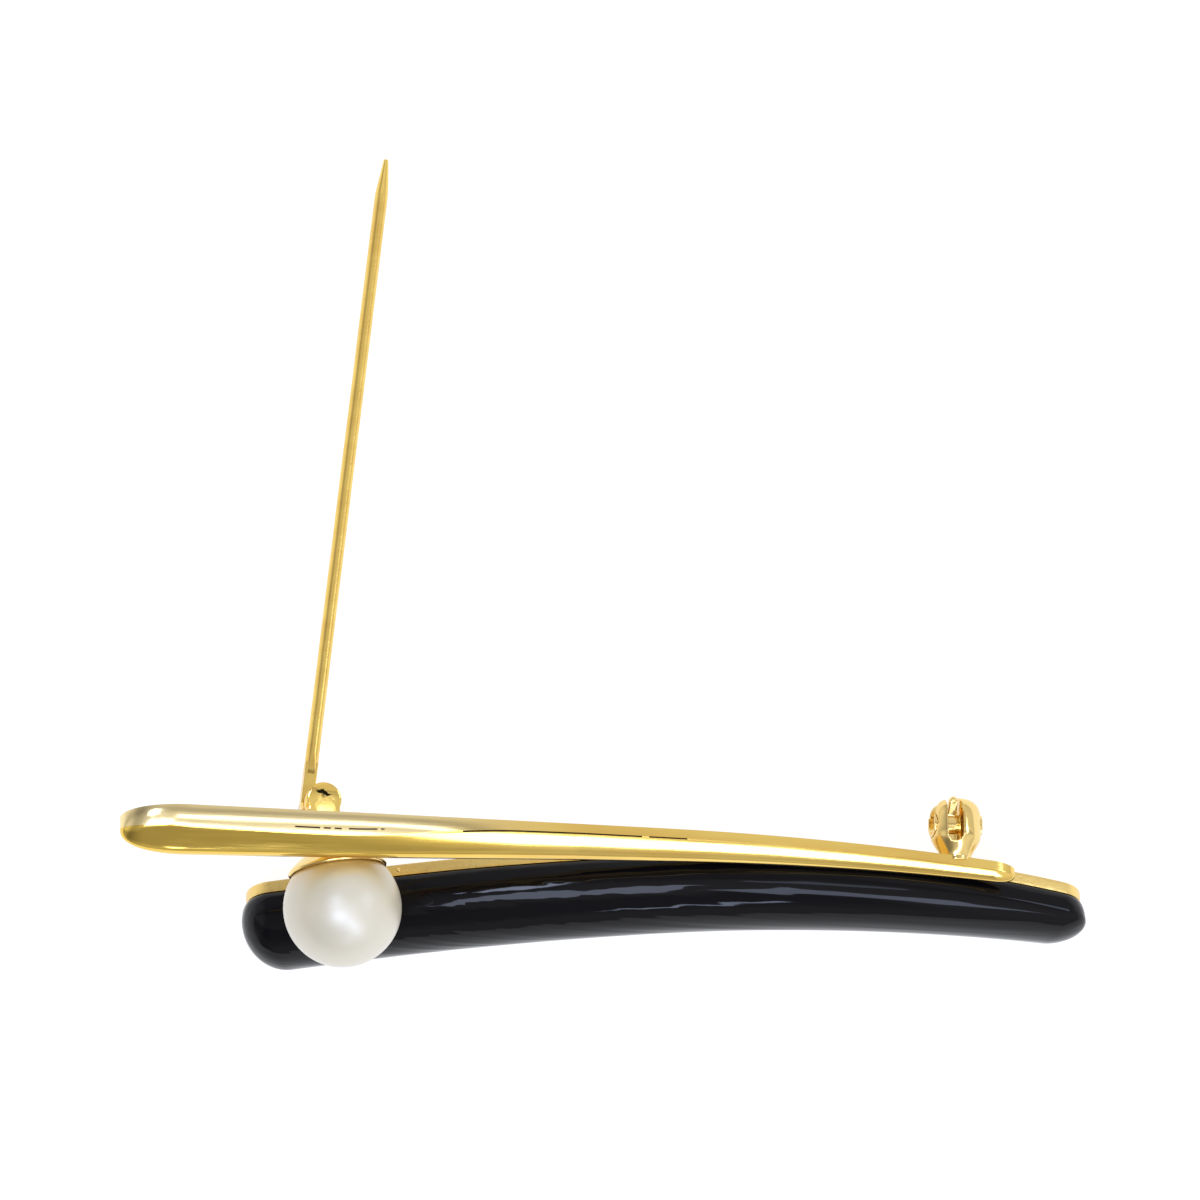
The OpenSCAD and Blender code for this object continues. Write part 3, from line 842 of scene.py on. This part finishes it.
class BROOCH_OT_pearl(bpy.types.Operator):
    """Build the pearl and the gold cup that holds it"""

    bl_idname = "brooch.pearl"
    bl_label = "Pearl and Cup"

    def execute(self, context):
        pearl = sizes("brooch_pearl")
        radius = pearl["diameter"] / 2
        at = Matrix.Translation(PEARL_AT)

        points, faces = globe(radius, 96, 144)
        uneven = pearl["unevenness"] / radius
        points = [tuple(Vector(p) * (1 - uneven * (0.5 + 0.5 * ripple(p, 4.0, 2.0)))) for p in points]
        mesh = mesh_of(moved((points, faces), at))
        piece("pearl_ball", mesh, [cultured_pearl_nacre], "brooch", "pearl", 80)

        inner = radius + PEARL_GAP
        outer = inner + pearl["cup_wall"]
        middle, lip = (inner + outer) / 2, pearl["cup_wall"] / 2
        rim_turn = asin(pearl["cup_rim"] / outer)
        bowl_steps, lip_steps = 24, 8
        turns = [rim_turn * i / bowl_steps for i in range(bowl_steps + 1)]
        bowl = [(max(0.02, outer * sin(turn)), -outer * cos(turn)) for turn in turns]
        for i in range(1, lip_steps):
            turn = rim_turn + pi * i / lip_steps
            bowl.append((middle * sin(rim_turn) + lip * sin(turn), -middle * cos(rim_turn) - lip * cos(turn)))
        bowl += [(max(0.02, inner * sin(turn)), -inner * cos(turn)) for turn in reversed(turns)]
        peg = [(0.4, -outer + 0.1), (0.4, -outer + 3.2)]
        tilted = at @ Matrix.Rotation(radians(CUP_TILT), 4, "Y")
        mesh = mesh_of(moved(joined(lathe(bowl, 120, closed=True), lathe(peg, 32)), tilted))
        piece("pearl_cup", mesh, [tumbled_cast_gold])
        return {"FINISHED"}


class BROOCH_OT_hinge(bpy.types.Operator):
    """Build the two hinge ears, the painted shade of a small pit on the front one, and the rivet"""

    bl_idname = "brooch.hinge"
    bl_label = "Hinge"

    def execute(self, context):
        radius = sizes("brooch_pin")["ear_radius"]
        inner = TANG_THICK / 2 + HINGE_GAP
        outer = inner + EAR_THICK
        # The round part ends low enough for a foot that is a little narrower than the ear
        round_end, foot, foot_half = 0.44 * radius, HINGE_HIGH + 0.3, 0.9 * radius
        sweep, around = acos(-0.9), 64
        turns = [blend(-sweep, sweep, i / around) - pi / 2 for i in range(around + 1)]
        outline = [(radius * cos(turn), radius * sin(turn)) for turn in turns]
        outline = [(x, z) for x, z in outline if z <= round_end and (z < 0.3 or abs(x) > 0.88 * radius)]
        outline += [(-foot_half, foot), (foot_half, foot)]
        outline.sort(key=lambda p: np.arctan2(p[1] - 0.2, p[0]))

        # Distance across the hinge and inset there: a broken edge, the round rim, a slightly domed face
        bevel = 0.07
        levels = [
            (inner, bevel * 0.5), (inner + bevel * 0.5, 0.0),
            (outer - 1.9 * bevel, 0.0), (outer - 1.2 * bevel, bevel * 0.3),
        ]
        for k in range(9):
            inset = 0.85 * blend(bevel, 1.1 * radius, k / 8)
            levels.append((outer - 0.9 * bevel * (1 - k / 8) ** 2, inset))
        ears = [slab(outline, [(side * across, inset) for across, inset in levels]) for side in (1, -1)]
        hinge_at = Matrix.Translation((HINGE_X, 0, -HINGE_HIGH))
        piece("hinge_ears", mesh_of(moved(joined(*ears), hinge_at)), [lapped_gold], crisp=30)

        # A thin dark sheet just over the front ear's face: painted shade of a small peened pit
        mark_steps, mark_front, mark_back = 26, outer + 0.018, outer - 0.012
        mark = []
        for i in range(mark_steps + 1):
            t = i / mark_steps
            x = blend(-0.62, 0.58, t)
            spine = -0.6 + 0.36 * t + 0.06 * sin(11 * t)
            jagged = 0.45 + 1.2 * abs(ripple((x, 0, 0), 0.09, 3.0))
            wide = 0.26 * sin(pi * min(1.0, t * 1.1)) * jagged + 0.015
            low, high = spine - wide, spine + wide * 0.7
            mark += [(x, mark_front, low), (x, mark_front, high), (x, mark_back, high), (x, mark_back, low)]
        piece("hinge_pit_shade", mesh_of(moved(tube(mark, 4), hinge_at)), [tarnished_gold_pit], crisp=30)

        reach = outer - 0.06
        rod = [(0.3, -reach), (RIVET_RADIUS, -reach + 0.08), (RIVET_RADIUS, reach - 0.08), (0.3, reach)]
        turned = hinge_at @ Matrix.Rotation(-pi / 2, 4, "X")
        mesh = mesh_of(moved(lathe(rod, 48), turned))
        piece("rivet_rod", mesh, [drawn_gold_wire], "brooch", "hinge_rivet")
        return {"FINISHED"}


class BROOCH_OT_pin(bpy.types.Operator):
    """Build the pin: flat eye and tang, round wire and ground point"""

    bl_idname = "brooch.pin"
    bl_label = "Pin"

    def execute(self, context):
        pin = sizes("brooch_pin")
        radius, length = pin["wire"] / 2, pin["length"]
        half, tang = TANG_THICK / 2, TANG_WIDE / 2
        # Own axes of the pin: z runs toward its point, x toward the catch side
        over = Matrix.Rotation(radians(-PIN_OPEN), 3, "Y") @ Matrix.Rotation(pi, 3, "X")
        matrix = laid_matrix(HINGE_AT, TURN @ over)
        across = Matrix.Rotation(-pi / 2, 4, "X")
        solids = [
            cylinder(EYE_RADIUS, -half, half, across),
            cylinder(tang, -half, half, Matrix.Translation((-PIN_OFFSET, 0, 0)) @ across),
            block((-PIN_OFFSET - tang, -half, 0), (-PIN_OFFSET + tang, half, TANG_LONG)),
            block((-PIN_OFFSET, -half + 0.001, -tang + 0.001), (0, half - 0.001, EYE_RADIUS * 0.98)),
        ]
        root = carved(solids, [cylinder(RIVET_RADIUS + HINGE_GAP, -1, 1, across)], voxel=0.035, rounding=2)

        sections, tip_steps, tip_long, lean = 56, 8, 0.1, 0.1
        turns = [2 * pi * i / sections for i in range(sections)]

        def circle(x, z, r, flat):
            """One ring of the wire, no thicker than flat to either side."""
            return [(x + r * cos(turn), max(-flat, min(flat, r * sin(turn))), z) for turn in turns]

        ground = length - pin["point"]
        flat_from, flat_to = TANG_LONG - 0.6, TANG_LONG + 0.75
        stops = [TANG_LONG - 0.9 + 0.05 * i for i in range(50)]
        stops += list(np.linspace(stops[-1] + 0.4, ground, 120))
        stops += list(np.linspace(ground, length - tip_long, 40))[1:]
        points = []
        for at in stops:
            taper = max(0.0, (at - ground) / pin["point"])
            r = blend(radius, TIP_WIDE / 2, taper ** 1.15)
            flat = half + (radius * 1.02 - half) * max(0.0, at - flat_from) / (flat_to - flat_from)
            wobble = 0.012 * ripple((0, 0, at), 6.0, 5.0) * min(1.0, (length - at) / 6)
            points += circle(-PIN_OFFSET + wobble + lean * r * taper, at, r, flat)
        for k in range(1, tip_steps):
            turn = 0.5 * pi * k / tip_steps
            r = TIP_WIDE / 2 * cos(turn)
            points += circle(-PIN_OFFSET + lean * TIP_WIDE / 2, length - tip_long * (1 - sin(turn)), r, r)
        wire = mesh_of(tube(points, sections))
        for name, mesh, crisp in (("pin_wire", wire, 30), ("pin_root", root, 50)):
            piece(name, mesh, [drawn_gold_wire], "pin", "pin_stem", crisp, matrix)
        return {"FINISHED"}


class BROOCH_OT_catch(bpy.types.Operator):
    """Build the slotted ball of the catch and the rotor with its lever"""

    bl_idname = "brooch.catch"
    bl_label = "Safety Catch"

    def execute(self, context):
        catch = sizes("brooch_catch")
        radius, slot, knob = catch["radius"], catch["slot"] / 2, catch["knob"] / 2
        # Own axes of the catch: z runs away from the bar, x along it
        matrix = laid_matrix(CATCH_AT, TURN @ Matrix.Rotation(pi, 3, "X"))
        along = Matrix.Rotation(pi / 2, 4, "Y")

        # A stem that widens into the lower part of the ball, then the ball, squarer than a true one
        square, join = 3.3, -0.55
        profile = [(CATCH_STEM, -CATCH_HIGH - 0.25), (CATCH_STEM, -CATCH_HIGH)]
        for i in range(1, 24):
            share = i / 24
            wide = blend(CATCH_STEM, 0.96 * radius, 0.5 * smooth(share) + 0.5 * share)
            profile.append((wide, blend(-CATCH_HIGH, join * radius, share)))
        for i in range(44):
            z = radius * sin(blend(asin(join), 0.5 * pi, (i + 0.5) / 44))
            profile.append((radius * (1 - abs(z / radius) ** square) ** (1 / square), z))

        far = 2 * radius
        left, right, bottom = -SLOT_ASIDE - slot, -SLOT_ASIDE + slot, -SLOT_DEPTH + slot
        slot_end = Matrix.Translation((-SLOT_ASIDE, 0, bottom)) @ Matrix.Rotation(-pi / 2, 4, "X")
        # The slot flares out toward the front
        flare, inside, outside = 0.3, -radius + 0.42, -radius - 0.15
        wedge = [(left, inside), (left - flare, outside), (right + flare, outside), (right, inside)]
        cuts = [
            cylinder(BORE_RADIUS, -far, far, along),
            block((-far, -MOUTH_HALF, 0), (far, MOUTH_HALF, far)),
            block((left, -far, 0), (right, far, far)),
            block((left, -far, bottom), (right, -SLOT_BLIND, 0.1)),
            cylinder(slot, -far, -SLOT_BLIND, slot_end),
            block((-far, -far, -far), (-CATCH_LONG / 2, far, far)),
            block((CATCH_LONG / 2, -far, -far), (far, far, far)),
            tube([(x, y, z) for z in (bottom, far) for x, y in wedge], 4),
            moved(lathe([(slot, inside), (slot + flare, outside)], 48), slot_end),
        ]
        mesh = carved([lathe(profile, 96)], cuts, voxel=0.045, rounding=5)
        piece("catch_ball", mesh, [tumbled_cast_gold], crisp=60, matrix=matrix)

        thick, wide = LEVER_THICK / 2, LEVER_WIDE / 2
        lever_turn = Matrix.Rotation(radians(LEVER_ANGLE), 4, "X") @ Matrix.Translation((-SLOT_ASIDE, 0, 0))
        solids = [
            cylinder(BORE_RADIUS - ROTOR_GAP, -ROTOR_LONG / 2, ROTOR_LONG / 2, along),
            moved(block((-thick, -wide, 0.3), (thick, wide, LEVER_REACH)), lever_turn),
            moved(globe(knob, 16, 32, LEVER_REACH), lever_turn),
        ]
        cuts = [cylinder(ROTOR_HOLE, -3, 3, along), block((-3, -ROTOR_HOLE, 0), (3, ROTOR_HOLE, 3))]
        mesh = carved(solids, cuts, voxel=0.035, rounding=3)
        piece("rotor_lever", mesh, [tumbled_cast_gold], "safety_catch", "catch_rotor", 60, matrix)
        return {"FINISHED"}


# Grey of the surround at each turn in degrees from the horizon behind the pin, over the zenith, to the
# horizon in front, to the left and to the right
LEFT_BANDS = (
    (0, 0.9), (35, 1.0), (50, 0.7), (68, 0.48), (80, 0.85), (100, 0.95), (114, 0.85), (124, 0.44),
    (152, 0.42), (164, 0.68), (180, 0.5),
)
RIGHT_BANDS = (
    (0, 0.7), (35, 0.8), (54, 0.86), (68, 0.45), (80, 0.8), (100, 0.9), (112, 0.95), (134, 1.0),
    (148, 0.85), (170, 0.75), (180, 0.5),
)
# The share of it that is left, by how far to the right it lies
SIDE_DIMMING = ((-1, 1), (-0.82, 1), (-0.64, 0.55), (-0.5, 0.52), (-0.1, 1), (1, 1))

# Softboxes: both ends, each as its share to the right and its turn in degrees, the width in metres, and the
# setting and share of it that give the brightness. All hang SOFTBOX_AWAY metres off, with a cool light
SOFTBOXES = {
    "overhead_softbox": ((-0.27, 99), (0.12, 104), 0.25, "long_box", 0.75),
    "pearl_softbox": ((-0.28, 72), (-0.16, 76), 0.16, "long_box", 1.5),
    "slanted_softbox": ((0.22, 107), (0.50, 139), 0.15, "long_box", 0.62),
    "low_softbox": ((0.10, 153), (0.25, 150), 0.05, "long_box", 1.0),
    "right_softbox": ((0.20, 86), (0.48, 87), 0.12, "small_box", 0.3),
    "side_softbox": ((0.68, 50), (0.8, 76), 0.14, "small_box", 0.5),
}
SOFTBOX_AWAY = 0.9
SOFTBOX_COOL = (0.84, 0.96, 1.3)


def facing(at, side, back):
    """Where a lamp or a camera stands, with its own x axis along side and its back toward back."""
    return Matrix.Translation(at) @ Matrix((side, back.cross(side), back)).transposed().to_4x4()


def softbox(name, ends, wide, bright):
    """A long soft panel between two ends, facing the brooch."""
    points = []
    for share, angle in ends:
        rest, turn = sqrt(1 - share * share), radians(angle)
        points.append(SOFTBOX_AWAY * Vector((share, rest * cos(turn), rest * sin(turn))))
    centre = (points[0] + points[1]) / 2
    back = centre.normalized()
    long = points[1] - points[0]
    side = long.normalized()
    side = (side - side.dot(back) * back).normalized()
    light = bpy.data.lights.new(name, "AREA")
    light.shape, light.size, light.size_y = "RECTANGLE", long.length, wide
    light.energy = bright * pi * long.length * wide
    light.color = SOFTBOX_COOL
    linked(name, light).matrix_world = facing(centre, side, back)


class BROOCH_OT_studio(bpy.types.Operator):
    """Build the paper floor, the softboxes, the pale surround and the camera"""

    bl_idname = "brooch.studio"
    bl_label = "Studio"

    def execute(self, context):
        scene = context.scene
        studio = scene.brooch_studio
        half = 0.4
        corners = [(-half, -half, 0), (half, -half, 0), (half, half, 0), (-half, half, 0)]
        mesh = bpy.data.meshes.new("paper_floor")
        mesh.from_pydata(corners, [], [(0, 1, 2, 3)])
        mesh.materials.append(material_of(matt_background_paper))
        floor = linked("paper_floor", mesh)

        world = bpy.data.worlds.new("pale_surround")
        scene.world = world
        world.use_nodes = True
        tree = world.node_tree
        where = add(tree, "ShaderNodeTexCoord")
        parts = add(tree, "ShaderNodeSeparateXYZ", {"Vector": where.outputs["Generated"]}).outputs

        def graded(source, low, high, stops):
            """Grey level that runs through the stops, each a value of the source and a level."""
            ramp = add(tree, "ShaderNodeValToRGB", {"Fac": ranged(tree, source, low, high)})
            ends = ramp.color_ramp.elements
            for i, (value, level) in enumerate(stops):
                at = (value - low) / (high - low)
                stop = ends[i] if i < 2 else ends.new(at)
                stop.position, stop.color = at, (level, level, level, 1)
            return ramp.outputs["Color"]

        turn = add(tree, "ShaderNodeMath", {0: parts["Z"], 1: parts["Y"]}, operation="ARCTAN2").outputs[0]
        degree = add(tree, "ShaderNodeMath", {0: turn}, operation="DEGREES").outputs[0]
        left_grey, right_grey = (graded(degree, 0, 180, bands) for bands in (LEFT_BANDS, RIGHT_BANDS))
        aside = ranged(tree, parts["X"], 0.34, 0.41, kind="SMOOTHSTEP")
        dim = graded(parts["X"], -1, 1, SIDE_DIMMING)
        surround = mixed(tree, 1.0, mixed(tree, aside, left_grey, right_grey), dim, "MULTIPLY")
        feed(tree, tree.nodes["Background"], {"Color": surround, "Strength": studio.sky})
        for name, (end_a, end_b, wide, group, share) in SOFTBOXES.items():
            softbox(name, (end_a, end_b), wide, share * getattr(studio, group))

        # The photograph's camera: its own axes in the brooch's axes, and the middle of its picture
        right = Vector((0.973, 0.23, 0.0165)).normalized()
        up = Vector((-0.044, 0.256, -0.967)).normalized()
        aim_right, aim_up = 1.835, 16.415
        aim = aim_right * MM * right + aim_up * MM * up
        eye = right.cross(up).normalized() * studio.camera_distance
        brooch = brooch_matrix()
        turn = brooch.to_3x3()
        back = (turn @ (eye - aim)).normalized()
        side = (turn @ up).cross(back).normalized()
        data = bpy.data.cameras.new("photo_camera")
        data.lens, data.sensor_width, data.clip_start = studio.camera_lens, 36, 0.01
        camera = linked("photo_camera", data)
        camera.matrix_world = facing(brooch @ eye, side, back)
        scene.camera = camera
        scene.view_settings.view_transform = "Standard"
        return {"FINISHED"}


OPERATORS = (
    BROOCH_OT_gold_bar,
    BROOCH_OT_back_plate,
    BROOCH_OT_onyx,
    BROOCH_OT_pearl,
    BROOCH_OT_hinge,
    BROOCH_OT_pin,
    BROOCH_OT_catch,
    BROOCH_OT_studio,
)


class BROOCH_PT_panel(bpy.types.Panel):
    bl_idname = "BROOCH_PT_panel"
    bl_label = "Onyx and Pearl Brooch"
    bl_space_type = "VIEW_3D"
    bl_region_type = "UI"
    bl_category = "Brooch"

    def draw(self, context):
        for operator in OPERATORS:
            self.layout.operator(operator.bl_idname)
        for name, group in GROUPS.items():
            box = self.layout.box()
            settings = getattr(context.scene, name)
            for key in group.__annotations__:
                box.prop(settings, key)


def register():
    for thing in (*GROUPS.values(), *OPERATORS, BROOCH_PT_panel):
        bpy.utils.register_class(thing)
    for name, group in GROUPS.items():
        setattr(bpy.types.Scene, name, PointerProperty(type=group))


def unregister():
    for name in GROUPS:
        delattr(bpy.types.Scene, name)
    for thing in reversed((*GROUPS.values(), *OPERATORS, BROOCH_PT_panel)):
        bpy.utils.unregister_class(thing)


def main():
    register()
    for operator in OPERATORS:
        group, name = operator.bl_idname.split(".")
        getattr(getattr(bpy.ops, group), name)()


if __name__ == "__main__":
    main()
